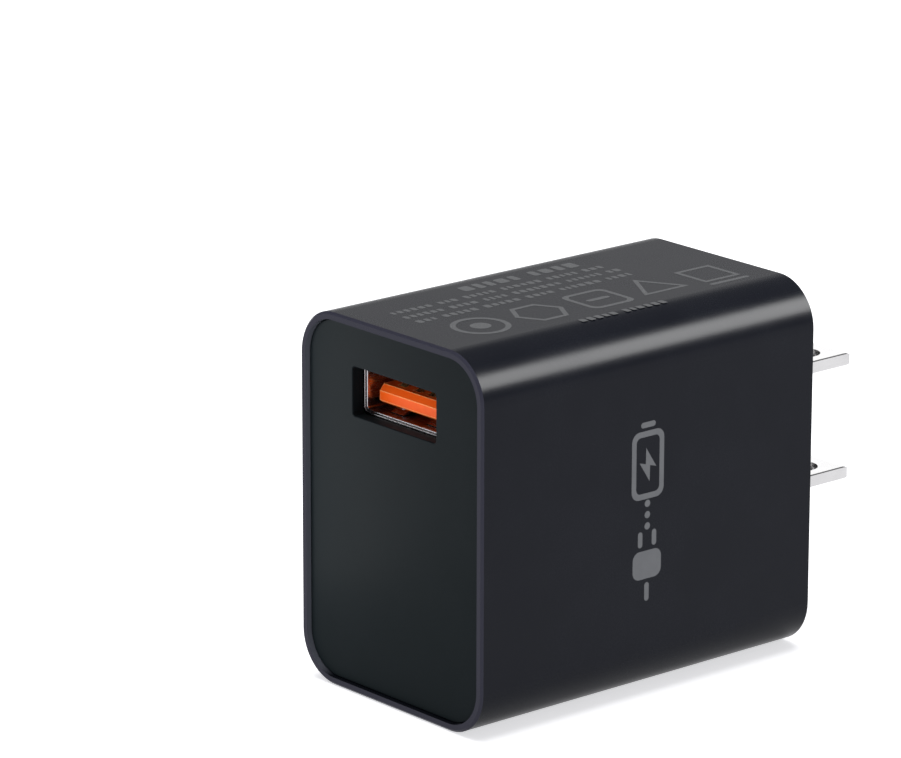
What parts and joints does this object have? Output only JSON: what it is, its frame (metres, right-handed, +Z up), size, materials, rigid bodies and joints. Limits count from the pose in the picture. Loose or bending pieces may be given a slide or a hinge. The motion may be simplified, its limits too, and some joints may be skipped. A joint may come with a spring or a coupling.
{
  "type": "usb wall charger",
  "caption": "Rounded black wall charger with an orange-tongued USB type A port on one end and two fixed flat blades on the other.",
  "frame": {"origin": "middle of the charger's footprint, blades included, on the narrow side it lies on", "axes": "+Y from the USB face to the blades, +X across the USB face, +Z up along the USB face's long side"},
  "size_m": [0.0284, 0.0624, 0.0398],
  "materials": {
    "sleeve_black": "satin-gloss moulded black",
    "panel_black": "fine matt black",
    "plate_black": "fine matt black",
    "nickel_plate": "bright nickel plate on brass",
    "spring_brass": "bare rolled strip",
    "shell_steel": "tinned steel strip",
    "tongue_orange": "moulded orange nylon",
    "contact_gold": "gold flash",
    "tinned_lead": "tinned copper",
    "board_green": "green solder mask on glass epoxy",
    "solder": "bright solder",
    "insulation_film": "cream fish paper",
    "can_aluminium": "drawn can",
    "capacitor_sleeve": "dark shrink sleeve",
    "bung_rubber": "moulded",
    "ferrite": "pressed and ground",
    "bobbin_black": "moulded phenolic",
    "copper_wire": "enamelled",
    "tape_yellow": "polyester tape",
    "ceramic_blue": "dipped coating",
    "fuse_green": "lacquered",
    "chip_black": "moulded epoxy",
    "chip_ceramic": "fired ceramic"
  },
  "bodies": {
    "charger": {"housing_sleeve": "sleeve_black", "front_panel": "panel_black", "blade_plate": "plate_black", "blade_upper": "nickel_plate", "blade_lower": "nickel_plate", "contact_strip_upper": "spring_brass", "contact_strip_lower": "spring_brass", "contact_rivets": "spring_brass", "usb_shell": "shell_steel", "usb_insulator": "tongue_orange", "usb_contact_tails": "tinned_lead", "main_board": "board_green", "solder_joints": "solder", "insulation_sheet": "insulation_film", "input_capacitor_front": "can_aluminium", "input_capacitor_rear": "can_aluminium", "input_capacitor_sleeves": "capacitor_sleeve", "output_capacitor_upper": "can_aluminium", "output_capacitor_lower": "can_aluminium", "capacitor_bungs": "bung_rubber", "capacitor_leads": "tinned_lead", "transformer_core_inner": "ferrite", "transformer_core_outer": "ferrite", "transformer_bobbin": "bobbin_black", "transformer_winding": "copper_wire", "transformer_tape": "tape_yellow", "transformer_pins": "tinned_lead", "choke_core": "ferrite", "choke_winding": "copper_wire", "choke_leads": "tinned_lead", "fuse_resistor": "fuse_green", "fuse_leads": "tinned_lead", "varistor": "ceramic_blue", "y_capacitor": "ceramic_blue", "disc_leads": "tinned_lead", "controller_ic": "chip_black", "rectifier_ic": "chip_black", "protocol_ic": "chip_black", "optocoupler": "chip_black", "bridge_rectifier": "chip_black", "chip_leads": "tinned_lead", "small_parts": "chip_ceramic"},
    "upper_fingers": {"usb_fingers_upper": "shell_steel"},
    "lower_fingers": {"usb_fingers_lower": "shell_steel"},
    "contact_springs": {"usb_contact_springs": "contact_gold"}
  },
  "joints": [
    {"name": "upper_finger_flex", "type": "hinge", "parent": "charger", "child": "upper_fingers", "pos_m": [0, -0.02175, 0.03512], "axis": [-1, 0, 0], "range_deg": [0, 5], "stiffness_Nm_per_rad": 0.05},
    {"name": "lower_finger_flex", "type": "hinge", "parent": "charger", "child": "lower_fingers", "pos_m": [0, -0.02175, 0.0297], "axis": [1, 0, 0], "range_deg": [0, 5], "stiffness_Nm_per_rad": 0.05},
    {"name": "contact_flex", "type": "hinge", "parent": "charger", "child": "contact_springs", "pos_m": [0, -0.01985, 0.03211], "axis": [1, 0, 0], "range_deg": [0, 4.5], "stiffness_Nm_per_rad": 0.03}
  ]
}
